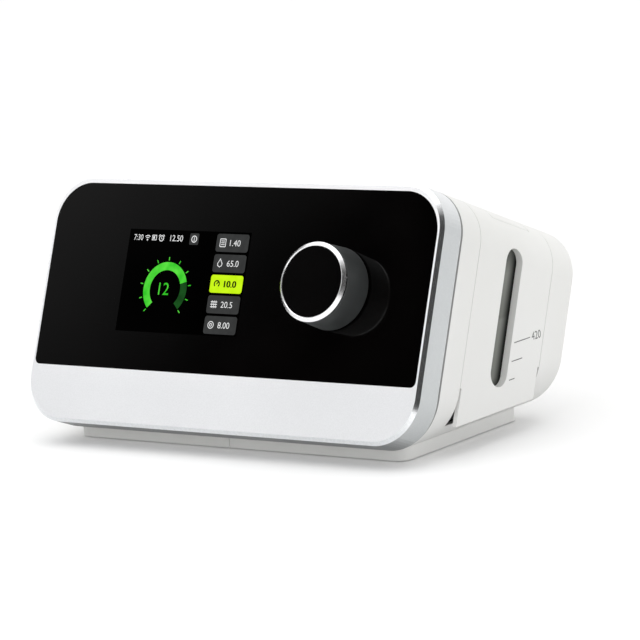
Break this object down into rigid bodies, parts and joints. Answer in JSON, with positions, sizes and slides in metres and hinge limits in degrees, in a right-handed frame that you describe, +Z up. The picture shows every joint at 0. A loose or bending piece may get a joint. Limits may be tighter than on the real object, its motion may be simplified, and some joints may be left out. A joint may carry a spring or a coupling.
{
  "type": "cpap machine",
  "caption": "Bedside CPAP machine with a leaning front, colour screen and push-turn knob, a water tank that slides out of its side, a rear filter door and a hose outlet.",
  "frame": {"origin": "bottom centre of the machine's box, on the table it stands on", "axes": "+X to the right seen from the front, +Y to the rear, +Z up"},
  "size_m": [0.2364, 0.1638, 0.1266],
  "materials": {
    "case_white": "fine matte",
    "bezel_silver": "satin silver",
    "window_black": "gloss",
    "display_glass": "gloss",
    "dark_plastic": "matte",
    "grey_plastic": "matte",
    "light_plastic": "matte",
    "knob_grey": "soft touch",
    "knob_chrome": "polished",
    "knob_gloss": "gloss",
    "seal_rubber": "matte",
    "grey_rubber": "matte",
    "steel": "brushed",
    "aluminium": "satin",
    "brass": "plain",
    "board_green": "solder mask",
    "chip_black": "matte",
    "foam": "open foam",
    "filter_fabric": "felt",
    "tank_clear": "clear smoke",
    "lens_smoke": "clear smoke"
  },
  "bodies": {
    "chassis": {"front_bezel": "bezel_silver", "front_window": "window_black", "display_module": "display_glass", "front_frame": "grey_plastic", "frame_screws": "steel", "front_gasket": "seal_rubber", "main_housing": "case_white", "base_pan": "grey_plastic", "plinth_left": "case_white", "plinth_right": "case_white", "rubber_feet": "grey_rubber", "base_screws": "steel", "main_board": "board_green", "main_board_parts": "chip_black", "board_screws": "steel", "sd_socket": "steel", "button_board": "board_green", "button_switch": "dark_plastic", "encoder_body": "dark_plastic", "encoder_nut": "brass", "volute_base": "light_plastic", "volute_cover": "light_plastic", "blower_motor": "steel", "blower_mounts": "grey_rubber", "inlet_bellows": "grey_rubber", "intake_muffler": "grey_plastic", "muffler_foam": "foam", "filter_frame": "grey_plastic", "air_filter": "filter_fabric", "blower_duct": "light_plastic", "outlet_duct": "light_plastic", "flow_sensor": "chip_black", "air_outlet": "grey_plastic", "port_seals": "grey_rubber", "tank_bay": "dark_plastic", "heater_plate": "aluminium", "heater_insulator": "grey_rubber", "power_board": "board_green", "power_board_parts": "chip_black", "dc_inlet": "dark_plastic", "dc_pin": "brass", "speaker": "chip_black"},
    "encoder_push": {"encoder_plunger": "brass"},
    "knob": {"encoder_shaft": "steel", "knob_barrel": "knob_grey", "knob_ring": "knob_chrome", "knob_cap": "knob_gloss"},
    "start_button": {"power_button": "bezel_silver"},
    "rotor": {"impeller": "light_plastic", "motor_shaft": "steel"},
    "filter_door": {"filter_cover": "grey_plastic"},
    "card": {"sd_card": "dark_plastic"},
    "tank": {"tank_panel": "case_white", "level_lens": "lens_smoke", "tank_tub": "tank_clear", "tank_base_plate": "steel", "tank_lid_seal": "grey_rubber", "tank_lid": "tank_clear"},
    "latch": {"tank_latch": "case_white"}
  },
  "joints": [
    {"name": "knob_push", "type": "slide", "parent": "chassis", "child": "encoder_push", "axis": [0, 0.9298, -0.3681], "range_m": [0, 0.0006], "stiffness_N_per_m": 1500, "springref_m": -0.0004},
    {"name": "knob_turn", "type": "hinge", "parent": "encoder_push", "child": "knob", "pos_m": [0.062, -0.05608, 0.07925], "axis": [0, -0.9298, 0.3681], "continuous": true},
    {"name": "start_press", "type": "slide", "parent": "chassis", "child": "start_button", "axis": [0, -0.3681, -0.9298], "range_m": [0, 0.001], "stiffness_N_per_m": 1200, "springref_m": -0.0004},
    {"name": "impeller_spin", "type": "hinge", "parent": "chassis", "child": "rotor", "pos_m": [-0.062, -0.00021, 0.028], "axis": [0, 0, 1], "continuous": true},
    {"name": "filter_cover_swing", "type": "hinge", "parent": "chassis", "child": "filter_door", "pos_m": [-0.07, 0.05011, 0.0356], "axis": [-1, 0, 0], "range_deg": [0, 85]},
    {"name": "card_slide", "type": "slide", "parent": "chassis", "child": "card", "axis": [-1, 0, 0], "range_m": [0, 0.03]},
    {"name": "tank_slide", "type": "slide", "parent": "chassis", "child": "tank", "axis": [1, 0, 0], "range_m": [0, 0.1]},
    {"name": "latch_press", "type": "slide", "parent": "tank", "child": "latch", "axis": [0, -0.3681, -0.9298], "range_m": [0, 0.0015], "stiffness_N_per_m": 1200, "springref_m": -0.0005}
  ]
}
